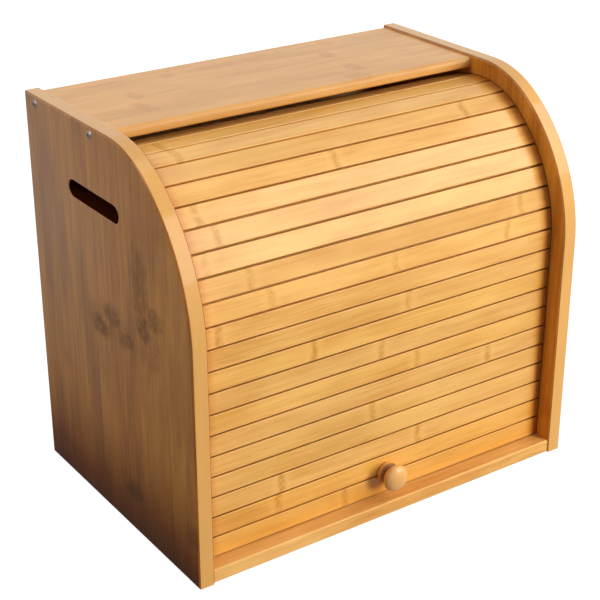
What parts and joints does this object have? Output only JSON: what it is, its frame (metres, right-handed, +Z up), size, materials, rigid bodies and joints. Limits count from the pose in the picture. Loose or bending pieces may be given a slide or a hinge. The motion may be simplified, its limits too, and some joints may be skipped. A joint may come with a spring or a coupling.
{
  "type": "roll-top bread box",
  "caption": "Roll-top bread box of light wood boards with a curved slatted front that rolls up under the top board, a turned knob, an inner shelf and oval hand-holes.",
  "frame": {"origin": "on the floor, in the middle of the footprint of the two side panels", "axes": "+X across the width to the right seen from the front, +Y to the back, +Z up; the slatted front faces -Y"},
  "size_m": [0.4036, 0.2755, 0.356],
  "materials": {
    "panel_bamboo": "clear lacquer, satin",
    "top_bamboo": "clear lacquer, satin",
    "base_bamboo": "clear lacquer, satin",
    "slat_bamboo": "clear lacquer, semi-gloss",
    "knob_bamboo": "turned, clear lacquer, semi-gloss",
    "inner_bamboo": "bare, sanded",
    "back_ply": "bare, sanded",
    "screw_steel": "zinc plated",
    "canvas": "woven cloth"
  },
  "bodies": {
    "cabinet": {"side_panel_left": "panel_bamboo", "side_panel_right": "panel_bamboo", "top_board": "top_bamboo", "bottom_board": "base_bamboo", "back_panel": "back_ply", "shelf": "inner_bamboo", "shelf_cleat_left": "inner_bamboo", "shelf_cleat_right": "inner_bamboo", "top_screws_left": "screw_steel", "top_screws_right": "screw_steel", "bottom_dowels_left": "inner_bamboo", "bottom_dowels_right": "inner_bamboo", "back_screws": "screw_steel", "cleat_screws_left": "screw_steel", "cleat_screws_right": "screw_steel", "tambour_canvas": "canvas"},
    "lead_slats": {"slat_01": "slat_bamboo", "slat_02": "slat_bamboo", "lead_batten": "inner_bamboo", "knob": "knob_bamboo", "knob_screw": "screw_steel"},
    "link_03": {"slat_03": "slat_bamboo"},
    "link_04": {"slat_04": "slat_bamboo"},
    "link_05": {"slat_05": "slat_bamboo"},
    "link_06": {"slat_06": "slat_bamboo"},
    "link_07": {"slat_07": "slat_bamboo"},
    "link_08": {"slat_08": "slat_bamboo"},
    "link_09": {"slat_09": "slat_bamboo"},
    "link_10": {"slat_10": "slat_bamboo"},
    "link_11": {"slat_11": "slat_bamboo"},
    "link_12": {"slat_12": "slat_bamboo"},
    "link_13": {"slat_13": "slat_bamboo"},
    "link_14": {"slat_14": "slat_bamboo"},
    "link_15": {"slat_15": "slat_bamboo"},
    "link_16": {"slat_16": "slat_bamboo"},
    "link_17": {"slat_17": "slat_bamboo"},
    "link_18": {"slat_18": "slat_bamboo"},
    "link_19": {"slat_19": "slat_bamboo"},
    "link_20": {"slat_20": "slat_bamboo"},
    "link_21": {"slat_21": "slat_bamboo"},
    "link_22": {"slat_22": "slat_bamboo"}
  },
  "joints": [
    {"name": "roll_front", "type": "hinge", "parent": "cabinet", "child": "lead_slats", "pos_m": [0, 0.20887, 0.12279], "axis": [-1, 0, 0], "range_deg": [0, 50.63], "deforming": ["tambour_canvas"]},
    {"name": "slat_03_turn", "type": "hinge", "parent": "lead_slats", "child": "link_03", "pos_m": [0, -0.11529, 0.04864], "axis": [-1, 0, 0], "range_deg": [0, 17.92]},
    {"name": "slat_04_turn", "type": "hinge", "parent": "link_03", "child": "link_04", "pos_m": [0, -0.1156, 0.0709], "axis": [-1, 0, 0], "range_deg": [0, 14.31]},
    {"name": "slat_05_turn", "type": "hinge", "parent": "link_06", "child": "link_05", "pos_m": [0, -0.11575, 0.1093], "axis": [-1, 0, 0], "range_deg": [-9.04, 0]},
    {"name": "slat_06_turn", "type": "hinge", "parent": "link_07", "child": "link_06", "pos_m": [0, -0.11575, 0.1285], "axis": [-1, 0, 0], "range_deg": [-9.04, 0]},
    {"name": "slat_07_turn", "type": "hinge", "parent": "link_08", "child": "link_07", "pos_m": [0, -0.11575, 0.1477], "axis": [-1, 0, 0], "range_deg": [-9.04, 0]},
    {"name": "slat_08_turn", "type": "hinge", "parent": "link_09", "child": "link_08", "pos_m": [0, -0.11575, 0.1669], "axis": [-1, 0, 0], "range_deg": [-9.04, 0]},
    {"name": "slat_09_turn", "type": "hinge", "parent": "link_10", "child": "link_09", "pos_m": [0, -0.11575, 0.1861], "axis": [-1, 0, 0], "range_deg": [-9.04, 0]},
    {"name": "slat_10_turn", "type": "hinge", "parent": "cabinet", "child": "link_10", "pos_m": [0, -0.00042, 0.20905], "axis": [-1, 0, 0], "range_deg": [0, 139.42]},
    {"name": "slat_11_turn", "type": "hinge", "parent": "cabinet", "child": "link_11", "pos_m": [0, -0.00374, 0.21703], "axis": [-1, 0, 0], "range_deg": [0, 147.66]},
    {"name": "slat_12_turn", "type": "hinge", "parent": "cabinet", "child": "link_12", "pos_m": [0, -0.00392, 0.21783], "axis": [-1, 0, 0], "range_deg": [0, 148.47]},
    {"name": "slat_13_turn", "type": "hinge", "parent": "link_12", "child": "link_13", "pos_m": [0, -0.11238, 0.2434], "axis": [-1, 0, 0], "range_deg": [0, 0.8299]},
    {"name": "slat_14_turn", "type": "hinge", "parent": "cabinet", "child": "link_14", "pos_m": [0, -0.00385, 0.21946], "axis": [-1, 0, 0], "range_deg": [0, 150.09]},
    {"name": "slat_15_turn", "type": "hinge", "parent": "cabinet", "child": "link_15", "pos_m": [0, -0.00515, 0.21592], "axis": [-1, 0, 0], "range_deg": [0, 146.4]},
    {"name": "slat_16_turn", "type": "hinge", "parent": "cabinet", "child": "link_16", "pos_m": [0, -0.00912, 0.20808], "axis": [-1, 0, 0], "range_deg": [0, 138.19]},
    {"name": "slat_17_turn", "type": "hinge", "parent": "link_16", "child": "link_17", "pos_m": [0, -0.07528, 0.30944], "axis": [-1, 0, 0], "range_deg": [-8.23, 0]},
    {"name": "slat_18_turn", "type": "hinge", "parent": "link_17", "child": "link_18", "pos_m": [0, -0.05955, 0.32255], "axis": [-1, 0, 0], "range_deg": [-10.34, 0]},
    {"name": "slat_19_turn", "type": "hinge", "parent": "cabinet", "child": "link_19", "pos_m": [0, -0.04174, 0.17704], "axis": [-1, 0, 0], "range_deg": [0, 105.38]},
    {"name": "slat_20_turn", "type": "hinge", "parent": "link_19", "child": "link_20", "pos_m": [0, -0.0254, 0.33641], "axis": [-1, 0, 0], "range_deg": [-14.31, 0]},
    {"name": "slat_21_turn", "type": "hinge", "parent": "cabinet", "child": "link_21", "pos_m": [0, -0.08592, 0.15265], "axis": [-1, 0, 0], "range_deg": [0, 81.87]},
    {"name": "slat_22_turn", "type": "hinge", "parent": "link_21", "child": "link_22", "pos_m": [0, 0.0128, 0.33416], "axis": [-1, 0, 0], "range_deg": [-9.04, 0]}
  ],
  "couplings": [
    {"joint": "slat_03_turn", "follows": "roll_front", "ratio": 0.35355},
    {"joint": "slat_04_turn", "follows": "roll_front", "ratio": 0.28216},
    {"joint": "slat_05_turn", "follows": "roll_front", "ratio": -0.17813},
    {"joint": "slat_06_turn", "follows": "roll_front", "ratio": -0.17813},
    {"joint": "slat_07_turn", "follows": "roll_front", "ratio": -0.17813},
    {"joint": "slat_08_turn", "follows": "roll_front", "ratio": -0.17813},
    {"joint": "slat_09_turn", "follows": "roll_front", "ratio": -0.17813},
    {"joint": "slat_10_turn", "follows": "roll_front", "ratio": 2.7531},
    {"joint": "slat_11_turn", "follows": "roll_front", "ratio": 2.9158},
    {"joint": "slat_12_turn", "follows": "roll_front", "ratio": 2.9318},
    {"joint": "slat_13_turn", "follows": "roll_front", "ratio": 0.015996},
    {"joint": "slat_14_turn", "follows": "roll_front", "ratio": 2.9638},
    {"joint": "slat_15_turn", "follows": "roll_front", "ratio": 2.8911},
    {"joint": "slat_16_turn", "follows": "roll_front", "ratio": 2.7289},
    {"joint": "slat_17_turn", "follows": "roll_front", "ratio": -0.16214},
    {"joint": "slat_18_turn", "follows": "roll_front", "ratio": -0.20372},
    {"joint": "slat_19_turn", "follows": "roll_front", "ratio": 2.0809},
    {"joint": "slat_20_turn", "follows": "roll_front", "ratio": -0.28216},
    {"joint": "slat_21_turn", "follows": "roll_front", "ratio": 1.6165},
    {"joint": "slat_22_turn", "follows": "roll_front", "ratio": -0.17813}
  ]
}
